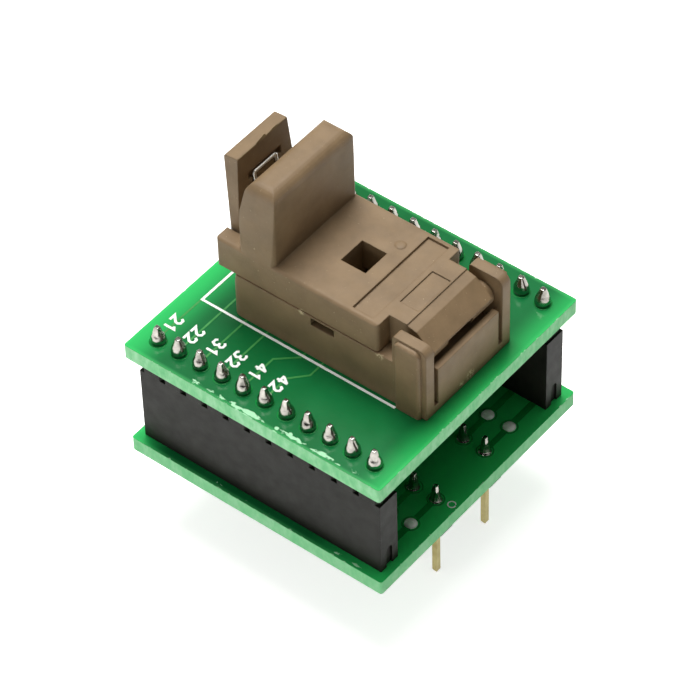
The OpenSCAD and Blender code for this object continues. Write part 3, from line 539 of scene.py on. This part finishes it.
def ink_material():
    """Screen-printed epoxy ink: matt white, thinner and greener where the mesh left it starved."""
    made, tree, shader, place = material("screen_printed_white_ink")
    starved = remap(tree, noise(tree, place, 0.25, 3.0, 0.6), 0.62, 0.78)
    tree.links.new(mix(tree, starved, "#fbfdf9", "#c9e6cf"), shader.inputs["Base Color"])
    shader.inputs["Roughness"].default_value = 0.55
    return made


track_finish = mask_over_copper("green_mask_on_copper_track", ("#338a41", "#489a50"), 0.3)
pour_finish = mask_over_copper("green_mask_on_copper_pour", ("#0d7a33", "#12833a"), 0.2)
ink = ink_material()
print("finishes:", track_finish.name, pour_finish.name, ink.name)

# %% Tracks on the upper board
PIN_X = joints(0, 0)[:, 0]
TRACK_OFF = -0.27                                # the tracks leave the pads a little off centre
TRACK_FOOT, TRACK_W = -12.0, 0.2
COPPER_LIFT, INK_LIFT, RING_LIFT = 0.022, 0.035, 0.03      # how far each stands up from the board
RIBBON_ROOT, RIBBON_STEP = 0.05, 0.0008


def board_ribbons(paths, width, top, lift=COPPER_LIFT):
    """Ribbons on a board. Each lies a step higher than the last, so crossing strokes never share a plane."""
    return [ribbon(p, width, top - RIBBON_ROOT, top + lift + RIBBON_STEP * k) for k, p in enumerate(paths)]


track_x = PIN_X + TRACK_OFF
straight = [[(x, TRACK_FOOT), (x, y)] for x, y in zip(track_x[:4], (4.0, -1.0, -4.5, -4.5))]
bent = [[(track_x[4], TRACK_FOOT), (track_x[4], -8.05), (-0.9, -6.35), (-0.9, -4.5)],
        [(track_x[5], TRACK_FOOT), (track_x[5], -9.2), (1.2, -7.6), (1.2, -4.5)]]
piece("copper_tracks_upper", board_ribbons(straight + bent, TRACK_W, upper_top), track_finish, "upper",
      smooth=False)
print(len(straight + bent), "tracks, each", TRACK_W, "mm wide")

# %% Printed outline and pin numbers
# Plain pin numbers, drawn as strokes in a cell one unit high and 0.62 wide
STROKES = {
    "1": [[(0.08, 0.80), (0.34, 1.0), (0.34, 0.0)]],
    "2": [[(0.0, 0.78), (0.14, 1.0), (0.46, 1.0), (0.6, 0.78), (0.56, 0.55), (0.0, 0.0), (0.62, 0.0)]],
    "3": [[(0.0, 0.86), (0.16, 1.0), (0.46, 1.0), (0.6, 0.82), (0.46, 0.54), (0.24, 0.54)],
          [(0.46, 0.54), (0.62, 0.3), (0.46, 0.0), (0.14, 0.0), (0.0, 0.16)]],
    "4": [[(0.46, 0.0), (0.46, 1.04)], [(0.46, 0.98), (-0.02, 0.30)], [(-0.08, 0.30), (0.68, 0.30)]],
}
NUMBERS = ("21", "22", "31", "32", "41", "42")
DIGIT_H, DIGIT_STEP, INK_W, OUTLINE_W = 1.15, 1.10, 0.25, 0.26
NUMBER_PAST_PIN, NUMBER_Y = 0.95, -9.2


def number_strokes(text, x, y):
    """Stroke paths of a number that reads towards -Y, with the tops of its digits towards +X."""
    paths = []
    for place, digit in enumerate(text):
        for stroke in STROKES[digit]:
            s = np.array(stroke)
            paths.append(np.column_stack([x + DIGIT_H * s[:, 1], y - DIGIT_STEP * place - DIGIT_H * s[:, 0]]))
    return paths


number_paths = [path for number, x in zip(NUMBERS, PIN_X)
                for path in number_strokes(number, x - NUMBER_PAST_PIN, NUMBER_Y)]
piece("printed_pin_numbers", board_ribbons(number_paths, INK_W, upper_top, INK_LIFT), ink, "upper",
      smooth=False)
OUTLINE = [(9.9, -6.1), (-12.9, -6.1), (-12.9, 7.4), (9.9, 7.4)]
piece("printed_socket_outline", board_ribbons([OUTLINE], OUTLINE_W, upper_top, INK_LIFT), ink, "upper",
      smooth=False)
print("pin numbers", NUMBERS)

# %% Tracks and marks on the lower board
def both_ways(y0, y1):
    """One straight track for each pin and each half of the board, from y0 to y1."""
    return [[(x, s * y0), (x, s * y1)] for x in PIN_X for s in (-1, 1)]


OUTER_W, INNER_W = 0.7, 0.6
piece("copper_tracks_lower", board_ribbons(both_ways(12.0, 8.2), OUTER_W, lower_top), pour_finish, "lower",
      smooth=False)
piece("copper_tracks_inner", board_ribbons(both_ways(7.0, 4.4), INNER_W, lower_top), pour_finish, "lower",
      smooth=False)
RING_X, RING_Y, RING_R, RING_W = 14.3, -3.45, 0.38, 0.12
turn_angle = np.linspace(0.6, 2 * np.pi + 0.2, 25)      # a little less than a full turn
ring = np.column_stack([RING_X + RING_R * np.cos(turn_angle), RING_Y + RING_R * np.sin(turn_angle)])
piece("printed_ring_mark", board_ribbons([ring], RING_W, lower_top, RING_LIFT), ink, "lower",
      smooth=False)
print("lower board:", len(both_ways(0, 1)), "outer and as many inner tracks, and a ring mark")

# %% [markdown]
# ## Pads round the joints
#
# The mask laps up over the rim of each pad, and shows as a thin ring round every joint. A ring is a
# profile turned about the pin: radius and height along the section, angle round it.

# %% Pad rings
def rings(places, section):
    """Rings as angle x section grids: (r cos a, r sin a, h) for each (r, h) of the closed section."""
    angle = np.linspace(0, 2 * np.pi, 41)[:-1]
    r, h = np.array(section, float).T
    around = np.stack([np.cos(angle), np.sin(angle)], -1)[:, None] * r[:, None]
    loop = np.concatenate([around, np.broadcast_to(h[:, None], (len(angle), len(h), 1))], -1)
    return [loop + place for place in places]


def ring_piece(name, loops, finish, body):
    """One object from rings that are closed both ways."""
    points, faces, start = [], [], 0
    for loop in loops:
        rows, columns = loop.shape[:2]
        points.append(loop.reshape(-1, 3))
        i, k = np.meshgrid(np.arange(rows), np.arange(columns), indexing="ij")
        down, right = (i + 1) % rows, (k + 1) % columns
        corners = [i * columns + k, down * columns + k, down * columns + right, i * columns + right]
        faces += (np.stack(corners, -1).reshape(-1, 4) + start).tolist()
        start += rows * columns
    return finished(name, points, faces, finish, body)


# Radius and height in mm
MASK_LIP = [(0.70, -0.03), (0.90, -0.03), (0.89, 0.004), (0.84, 0.012), (0.76, 0.010)]
upper_places = np.concatenate([joints(s * HEADER_ROW, upper_top) for s in (-1, 1)])
lower_places = np.concatenate([joints(s * y, lower_top) for y in (DIP_ROW, SPARE_ROW) for s in (-1, 1)])
ring_piece("mask_lips_upper", rings(upper_places, MASK_LIP), pour_finish, "upper")
ring_piece("mask_lips_lower", rings(lower_places, MASK_LIP), pour_finish, "lower")
print(len(upper_places) + len(lower_places), "pads")

# %% [markdown]
# ## Springs
#
# The CAD wires have eight flat sides, which is enough for a strength model but shows as facets on
# polished steel. Here the same centre lines get a round section: a frame of two directions is
# carried along the path, a circle is laid in it at each point, and the CAD wires are hidden.

# %% Tube along a path
def tube(path, radius, sides=16):
    """Round tube as a points x sides x 3 array: path + radius * (cos a * n + sin a * b).

    n and b stand square to the path, and n is kept from twisting on its way along it.
    """
    path = np.array(path, float)
    tangent = np.gradient(path, axis=0)
    tangent /= np.linalg.norm(tangent, axis=1, keepdims=True)
    normal = np.cross(tangent[0], [0.31, 0.43, 0.85])
    normals = []
    for t in tangent:                            # each frame starts from the one before
        normal = normal - np.dot(normal, t) * t
        normal /= np.linalg.norm(normal)
        normals.append(normal)
    n = np.array(normals)
    b = np.cross(tangent, n)
    a = np.linspace(0, 2 * np.pi, sides + 1)[:-1]
    ring_points = np.cos(a)[None, :, None] * n[:, None] + np.sin(a)[None, :, None] * b[:, None]
    return path[:, None] + radius * ring_points


def coil(x, z, radius, a0, a1, y0, y1, per_turn=48):
    """Helix round an axis along Y: (x - r sin a, y, z - r cos a), a in degrees, y growing evenly with a."""
    count = max(int(abs(a1 - a0) / 360 * per_turn), 4)
    a = np.radians(np.linspace(a0, a1, count))
    return np.stack([x - radius * np.sin(a), np.linspace(y0, y1, count), z - radius * np.cos(a)], -1)


def straight_wire(a, b, count=8):
    """Evenly spaced points from a up to, but without, b."""
    return np.linspace(a, b, count, endpoint=False)


def soften(path, rounds=3):
    """Corner cutting: each side p, q gives (3p + q)/4 and (p + 3q)/4, while the two ends stay."""
    for _ in range(rounds):
        p, q = path[:-1], path[1:]
        cut = np.stack([(3 * p + q) / 4, (p + 3 * q) / 4], 1).reshape(-1, 3)
        path = np.concatenate([path[:1], cut, path[-1:]])
    return path


print("a coil of one turn has", len(coil(0, 0, 1, 0, 360, 0, 1)), "points")

# %% Lid spring
# The coil winds round the hinge pin and its fixed end bears on the base. The last part of a turn and the free
# leg are a piece of their own that rides on the lid.
SOCKET = np.array([0, 0.65, upper_top])         # where the socket stands on its board
HINGE_X, HINGE_Z, LID_COIL_R, COIL_PITCH = 10.9, 6.2, 0.78, 0.4
LID_WIRE_R = 0.15                               # a hair thinner than the CAD wire, to clear the lid
FIXED_LEG, FREE_LEG, SPLIT, TURNS = 12, 5, 280, 5
FIXED_REACH, FREE_REACH = 2.9, 2.3
wound = 360 * TURNS + 360 - FIXED_LEG - SPLIT
leg_y = COIL_PITCH * wound / 720
free_y = leg_y + COIL_PITCH
foot = (HINGE_X - FIXED_REACH, -leg_y, HINGE_Z - LID_COIL_R - FIXED_REACH * np.tan(radians(FIXED_LEG)))
turns = coil(HINGE_X, HINGE_Z, LID_COIL_R, -FIXED_LEG, -FIXED_LEG - wound, -leg_y, leg_y)
fixed_wire = np.concatenate([straight_wire(foot, turns[0]), turns])
last_turn = coil(HINGE_X, HINGE_Z, LID_COIL_R, SPLIT, 180 + FREE_LEG, free_y, free_y)
tip = (HINGE_X - FREE_REACH, free_y, HINGE_Z + LID_COIL_R + FREE_REACH * np.tan(radians(FREE_LEG)))
free_wire = np.concatenate([last_turn, straight_wire(tip, last_turn[-1])[::-1]])
for name, path, body in (("lid_spring", fixed_wire, "upper"), ("lid_spring_leg", free_wire, "lid")):
    made = piece(name + "_round", [tube(path + SOCKET, LID_WIRE_R)], steel_metal, body)
    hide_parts(name)
print("lid spring:", len(fixed_wire), "and", len(free_wire), "points along its two wires")

# %% Latch spring
# Two small coils on the latch pin, joined by legs to a bar across the panel
PIVOT_X, PIVOT_Z, LATCH_COIL_R, LATCH_WIRE_R, BAR_HALF = -10.05, 7.3, 0.52, 0.18, 1.55
BAR_X, BAR_Z, COIL_WIDTH, COIL_STEPS = -10.188, 14.121, 0.42, 12
step = np.arange(COIL_STEPS + 1)
a = 2 * np.pi * (1 - step / COIL_STEPS)
small_coil = np.stack([PIVOT_X + LATCH_COIL_R * np.cos(a), BAR_HALF + COIL_WIDTH * (1 - step / COIL_STEPS),
                       PIVOT_Z - LATCH_COIL_R * np.sin(a)], -1)
# Points crowd near the bend between leg and bar, which keeps it tight when the corners are cut
leg = np.array([(PIVOT_X + LATCH_COIL_R + 0.02, BAR_HALF, PIVOT_Z + 0.8),
                (BAR_X + 0.055, BAR_HALF, BAR_Z - 0.5), (BAR_X, BAR_HALF, BAR_Z - 0.16),
                (BAR_X, BAR_HALF - 0.05, BAR_Z - 0.05), (BAR_X, BAR_HALF - 0.16, BAR_Z),
                (BAR_X, BAR_HALF - 0.4, BAR_Z)])
half_wire = np.concatenate([small_coil, leg])
whole_wire = soften(np.concatenate([half_wire, half_wire[::-1] * (1, -1, 1)]))
made = piece("latch_spring_round", [tube(whole_wire + SOCKET, LATCH_WIRE_R)], steel_metal, "latch")
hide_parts("latch_spring")
print("latch spring:", len(whole_wire), "points along its wire")

# %% [markdown]
# ## Torn flash on the latch
#
# Where the mould halves of the latch lever meet, the plastic tore along the inner top edge. It left
# a thin, ragged lip with a nick in its middle. It is a strip whose height goes from one chosen
# value to the next, with a small wave on top.

# %% Ragged lip
LIP_Y = [-2.7, -0.3, 0.0, 0.5, 1.08, 1.14, 1.2, 1.35, 2.0, 2.1, 2.7, 3.1, 4.0]
LIP_HEIGHT = [0.01, 0.02, 0.12, 0.18, 0.28, 0.27, -0.03, 0.05, 0.09, 0.15, 0.16, 0.08, 0.05]
PANEL_INNER_X, LIP_BELOW_TOP = -10.35, 0.02


def ragged_lip(x, z, steps=120):
    """Thin wedge along Y: it climbs to a nick at y = 1.15, and is low and ragged behind it."""
    y = np.linspace(LIP_Y[0], LIP_Y[-1], steps)
    h = np.interp(y, LIP_Y, LIP_HEIGHT)
    h *= 0.9 + 0.1 * np.sin(9.3 * y) * np.sin(23.0 * y + 1.0)
    lean = x - 0.45 * h                          # it curls back over the panel's top
    flat = 0 * h
    rows = [(x - 0.06 + flat, z - 0.10 + flat), (x + 0.012 + flat, z - 0.12 + flat), (lean + 0.012, z + h),
            (lean - 0.03, z + h), (x - 0.06 + flat, z - 0.03 + flat)]
    return np.stack([np.column_stack([px, y, pz]) for px, pz in rows], 1)


flash_plastic = moulded("torn_pes_flash", ("#84704f", "#9b8560"), "#ecdfc0", 0.10, 0.02, 0.6, 0.02)
latch_top = box_mm("latch")[1][2]
piece("latch_moulding_lip", [ragged_lip(PANEL_INNER_X, latch_top - LIP_BELOW_TOP)], flash_plastic,
      "latch", smooth=False)
print("lip along the latch, at z", round(latch_top, 2))

# %% [markdown]
# ## Floor, backdrop and light
#
# The object stands on white paper in a white tent. One big softbox high behind its left side does
# most of the work, with a weak one in front. Two more lamps face down and light only the paper, in
# front of the object and on its right, so that its sides get their light from the paper, as on a
# light table. The paper also has a glow of its own, but only for rays from the camera, from
# mirror-like surfaces and through clear ones. It looks white, it still catches the soft shadow, and
# it adds no light to matt surfaces.

# %% Floor
def floor_material(glow):
    """Matt paper with a glow that only camera, glossy and transmission rays see."""
    made = bpy.data.materials.new("white_paper_floor")
    made.use_nodes = True
    tree = made.node_tree
    tree.nodes.clear()
    paper = add(tree, "ShaderNodeBsdfDiffuse", {"Color": colour("#eeeeec")})
    seen = add(tree, "ShaderNodeLightPath")
    direct = calc(tree, "MAXIMUM", seen.outputs["Is Camera Ray"],
                  calc(tree, "MAXIMUM", seen.outputs["Is Glossy Ray"], seen.outputs["Is Transmission Ray"]))
    light = add(tree, "ShaderNodeEmission", {"Strength": calc(tree, "MULTIPLY", direct, glow)})
    both = add(tree, "ShaderNodeAddShader", {0: paper.outputs[0], 1: light.outputs[0]})
    add(tree, "ShaderNodeOutputMaterial", {"Surface": both.outputs[0]})
    return made


FLOOR_HALF, FLOOR_GLOW = 3.0, 0.70              # metres; strength
floor_mesh = bpy.data.meshes.new("floor")
floor_mesh.from_pydata([(x * FLOOR_HALF, y * FLOOR_HALF, 0) for x, y in ((-1, -1), (1, -1), (1, 1), (-1, 1))],
                       [], [(0, 1, 2, 3)])
floor_mesh.materials.append(floor_material(FLOOR_GLOW))
floor = bpy.data.objects.new("floor", floor_mesh)
bpy.context.scene.collection.objects.link(floor)
print("floor:", 2 * FLOOR_HALF, "m wide")

# %% World
# To the camera the tent is white. For light it is brightest above the left back corner and dim at the right.
KEY_SIDE, TENT_STRENGTH = (-0.40, 0.35, 0.85), 0.5
world = bpy.data.worlds.new("tent")
bpy.context.scene.world = world
world.use_nodes = True
sky = world.node_tree
sky.nodes.clear()
direction = add(sky, "ShaderNodeTexCoord")
toward_key = add(sky, "ShaderNodeVectorMath", {0: direction.outputs["Generated"], 1: KEY_SIDE},
                 operation="DOT_PRODUCT").outputs["Value"]
tent = ramp(sky, remap(sky, toward_key, -0.5, 1.0), [(0.0, "#20201f"), (0.45, "#5c5c5a"), (1.0, "#f2f2ee")])
path_kind = add(sky, "ShaderNodeLightPath")
lit = add(sky, "ShaderNodeBackground", {"Color": tent, "Strength": TENT_STRENGTH})
white = add(sky, "ShaderNodeBackground", {"Color": colour("#ffffff"), "Strength": 1.0})
chosen = add(sky, "ShaderNodeMixShader", {0: path_kind.outputs["Is Camera Ray"], 1: lit.outputs[0],
                                          2: white.outputs[0]})
add(sky, "ShaderNodeOutputWorld", {"Surface": chosen.outputs[0]})
print("world:", world.name)


# %% Lamps
AIM = Vector((0, 0, 0.02))                      # metres: the middle of the object


def square_lamp(name, place, size, power):
    """Square area lamp that faces straight down; sizes in metres, power in watts."""
    data = bpy.data.lights.new(name, "AREA")
    data.shape, data.size, data.energy = "SQUARE", size, power
    lamp = bpy.data.objects.new(name, data)
    lamp.location = place
    lamp.visible_camera = False
    bpy.context.scene.collection.objects.link(lamp)
    return lamp


def softbox(name, direction_deg, distance_m, size, power):
    """Lamp aimed at the object from an azimuth (0 in front, 90 on the right) and an elevation."""
    azimuth, elevation = [radians(a) for a in direction_deg]
    toward = Vector((np.sin(azimuth) * np.cos(elevation), -np.cos(azimuth) * np.cos(elevation),
                     np.sin(elevation)))
    lamp = square_lamp(name, AIM + toward * distance_m, size, power)
    lamp.rotation_euler = toward.to_track_quat("Z", "Y").to_euler()
    return lamp


lamps = [softbox("key_overhead", (-128, 73), 0.6, 0.34, 4.2),
         softbox("fill_front_left", (-25, 14), 0.8, 0.5, 0.25),
         square_lamp("floor_wash_front", (-0.03, -0.17, 0.07), 0.16, 0.13),
         square_lamp("floor_wash_right", (0.18, 0.01, 0.07), 0.16, 0.05)]
bpy.context.scene.view_settings.view_transform = "Standard"
print("lamps:", [(lamp.name, lamp.data.energy) for lamp in lamps])
